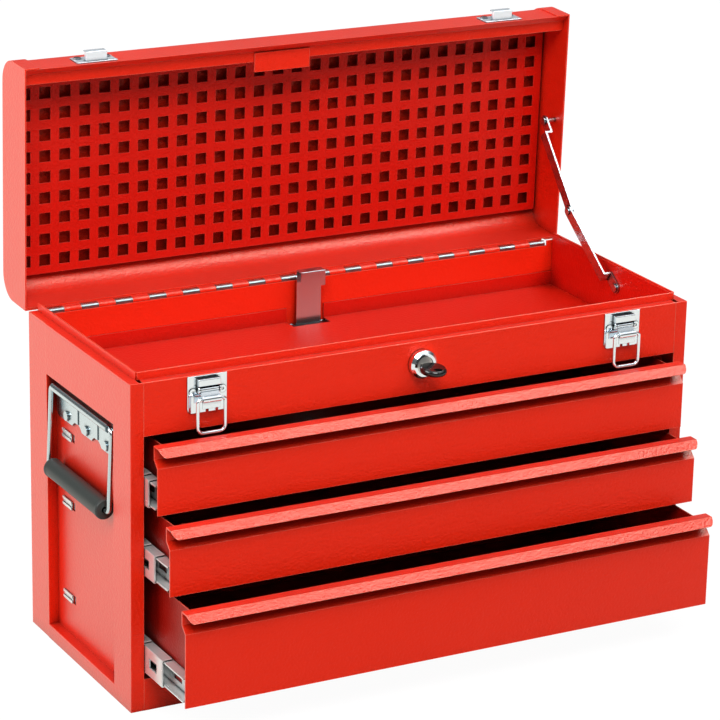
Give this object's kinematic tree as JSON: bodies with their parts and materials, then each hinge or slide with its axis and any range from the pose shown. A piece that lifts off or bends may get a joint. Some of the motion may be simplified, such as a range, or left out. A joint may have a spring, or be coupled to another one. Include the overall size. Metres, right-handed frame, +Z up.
{
  "type": "toolbox",
  "caption": "Portable steel toolbox with a hinged lid over a shallow tray, drawers on slides, draw latches, a cylinder lock and folding side handles.",
  "frame": {"origin": "centre of the case footprint, on the surface that the box stands on", "axes": "+X to the right seen from the front, the drawers open towards -Y, +Z up"},
  "size_m": [0.538, 0.3407, 0.4957],
  "materials": {
    "red_paint": "orange-red powder coat, fine orange peel",
    "red_paint_inside": "orange-red powder coat",
    "zinc_steel": "bright zinc plate",
    "chrome": "polished chrome plate",
    "black_rubber": "moulded rubber",
    "black_plastic": "moulded plastic",
    "key_metal": "nickel-plated brass"
  },
  "bodies": {
    "case": {"side_panel_left": "red_paint", "side_panel_right": "red_paint", "rear_panel": "red_paint", "front_panel": "red_paint", "base_panel": "red_paint", "tray_pan": "red_paint_inside", "hinge_leaf_case": "zinc_steel", "hinge_pin": "zinc_steel", "slide_cabinet_members_left": "zinc_steel", "slide_cabinet_members_right": "zinc_steel", "slide_retaining_tabs": "zinc_steel", "handle_bracket_left": "zinc_steel", "handle_bracket_right": "zinc_steel", "handle_rivets": "zinc_steel", "latch_plate_left": "chrome", "latch_plate_right": "chrome", "latch_pin_and_rivets_left": "chrome", "latch_pin_and_rivets_right": "chrome", "lock_body": "chrome", "lock_nut": "zinc_steel", "lock_bar_guides": "zinc_steel", "stay_pin_case": "zinc_steel"},
    "lid": {"lid_shell": "red_paint", "lid_end_cap_left": "red_paint", "lid_end_cap_right": "red_paint", "perforated_panel": "red_paint_inside", "lid_striker_plate": "zinc_steel", "lid_strike_left": "chrome", "lid_strike_right": "chrome", "lid_strike_rivets": "chrome", "hinge_leaf_lid": "red_paint", "stay_pin_lid": "zinc_steel"},
    "drawer_top": {"drawer_front_top": "red_paint", "drawer_tray_top": "red_paint_inside", "slide_drawer_members_top": "zinc_steel"},
    "slides_top": {"slide_middle_members_top": "zinc_steel"},
    "drawer_middle": {"drawer_front_middle": "red_paint", "drawer_tray_middle": "red_paint_inside", "slide_drawer_members_middle": "zinc_steel"},
    "slides_middle": {"slide_middle_members_middle": "zinc_steel"},
    "drawer_bottom": {"drawer_front_bottom": "red_paint", "drawer_tray_bottom": "red_paint_inside", "slide_drawer_members_bottom": "zinc_steel"},
    "slides_bottom": {"slide_middle_members_bottom": "zinc_steel"},
    "lock_bar": {"lock_bar": "zinc_steel"},
    "stay_lower_link": {"stay_lower_link": "zinc_steel"},
    "stay_upper_link": {"stay_upper_link": "zinc_steel"},
    "handle_left": {"handle_wire_left": "zinc_steel", "handle_grip_left": "black_rubber"},
    "handle_right": {"handle_wire_right": "zinc_steel", "handle_grip_right": "black_rubber"},
    "latch_lever_left": {"latch_lever_left": "chrome"},
    "latch_bail_left": {"latch_bail_left": "chrome"},
    "latch_lever_right": {"latch_lever_right": "chrome"},
    "latch_bail_right": {"latch_bail_right": "chrome"},
    "lock_plug": {"lock_plug": "chrome", "lock_cam": "zinc_steel"},
    "key": {"key_blade": "key_metal", "key_bow": "black_plastic"}
  },
  "joints": [
    {"name": "lid_hinge", "type": "hinge", "parent": "case", "child": "lid", "pos_m": [0, 0.1059, 0.2772], "axis": [-1, 0, 0], "range_deg": [-88.3, 0]},
    {"name": "drawer_top_slide", "type": "slide", "parent": "case", "child": "drawer_top", "axis": [0, -1, 0], "range_m": [-0.0205, 0.1445]},
    {"name": "slides_top_travel", "type": "slide", "parent": "case", "child": "slides_top", "axis": [0, -1, 0], "range_m": [-0.01025, 0.07225]},
    {"name": "drawer_middle_slide", "type": "slide", "parent": "case", "child": "drawer_middle", "axis": [0, -1, 0], "range_m": [-0.0435, 0.1215]},
    {"name": "slides_middle_travel", "type": "slide", "parent": "case", "child": "slides_middle", "axis": [0, -1, 0], "range_m": [-0.02175, 0.06075]},
    {"name": "drawer_bottom_slide", "type": "slide", "parent": "case", "child": "drawer_bottom", "axis": [0, -1, 0], "range_m": [-0.0725, 0.0925]},
    {"name": "slides_bottom_travel", "type": "slide", "parent": "case", "child": "slides_bottom", "axis": [0, -1, 0], "range_m": [-0.03625, 0.04625]},
    {"name": "lock_bar_slide", "type": "slide", "parent": "case", "child": "lock_bar", "axis": [0, 0, 1], "range_m": [-0.0075, 0]},
    {"name": "stay_lower_turn", "type": "hinge", "parent": "case", "child": "stay_lower_link", "pos_m": [0.245, -0.008, 0.267], "axis": [-1, 0, 0], "range_deg": [0, 38.2]},
    {"name": "stay_upper_turn", "type": "hinge", "parent": "lid", "child": "stay_upper_link", "pos_m": [0.245, 0.12053, 0.38758], "axis": [-1, 0, 0], "range_deg": [-21.48, 0]},
    {"name": "handle_left_swing", "type": "hinge", "parent": "case", "child": "handle_left", "pos_m": [-0.2577, 0, 0.229], "axis": [0, 1, 0], "range_deg": [0, 95]},
    {"name": "handle_right_swing", "type": "hinge", "parent": "case", "child": "handle_right", "pos_m": [0.2577, 0, 0.229], "axis": [0, -1, 0], "range_deg": [0, 95]},
    {"name": "latch_lever_left_turn", "type": "hinge", "parent": "case", "child": "latch_lever_left", "pos_m": [-0.194, -0.1075, 0.2695], "axis": [1, 0, 0], "range_deg": [-80, 0]},
    {"name": "latch_bail_left_swing", "type": "hinge", "parent": "latch_lever_left", "child": "latch_bail_left", "pos_m": [-0.194, -0.1121, 0.2628], "axis": [-1, 0, 0], "range_deg": [0, 186]},
    {"name": "latch_lever_right_turn", "type": "hinge", "parent": "case", "child": "latch_lever_right", "pos_m": [0.194, -0.1075, 0.2695], "axis": [1, 0, 0], "range_deg": [-80, 0]},
    {"name": "latch_bail_right_swing", "type": "hinge", "parent": "latch_lever_right", "child": "latch_bail_right", "pos_m": [0.194, -0.1121, 0.2628], "axis": [-1, 0, 0], "range_deg": [0, 186]},
    {"name": "lock_plug_turn", "type": "hinge", "parent": "case", "child": "lock_plug", "pos_m": [0, -0.103, 0.2625], "axis": [0, -1, 0], "range_deg": [0, 90]},
    {"name": "key_pull", "type": "slide", "parent": "lock_plug", "child": "key", "axis": [0, -1, 0], "range_m": [0, 0.022]}
  ],
  "couplings": [
    {"joint": "slides_top_travel", "follows": "drawer_top_slide", "ratio": 0.5},
    {"joint": "slides_middle_travel", "follows": "drawer_middle_slide", "ratio": 0.5},
    {"joint": "slides_bottom_travel", "follows": "drawer_bottom_slide", "ratio": 0.5},
    {"joint": "lock_bar_slide", "follows": "lid_hinge", "m_per_rad": 0.0048666},
    {"joint": "stay_lower_turn", "follows": "lid_hinge", "ratio": -0.43247},
    {"joint": "stay_upper_turn", "follows": "lid_hinge", "ratio": 0.2432}
  ]
}
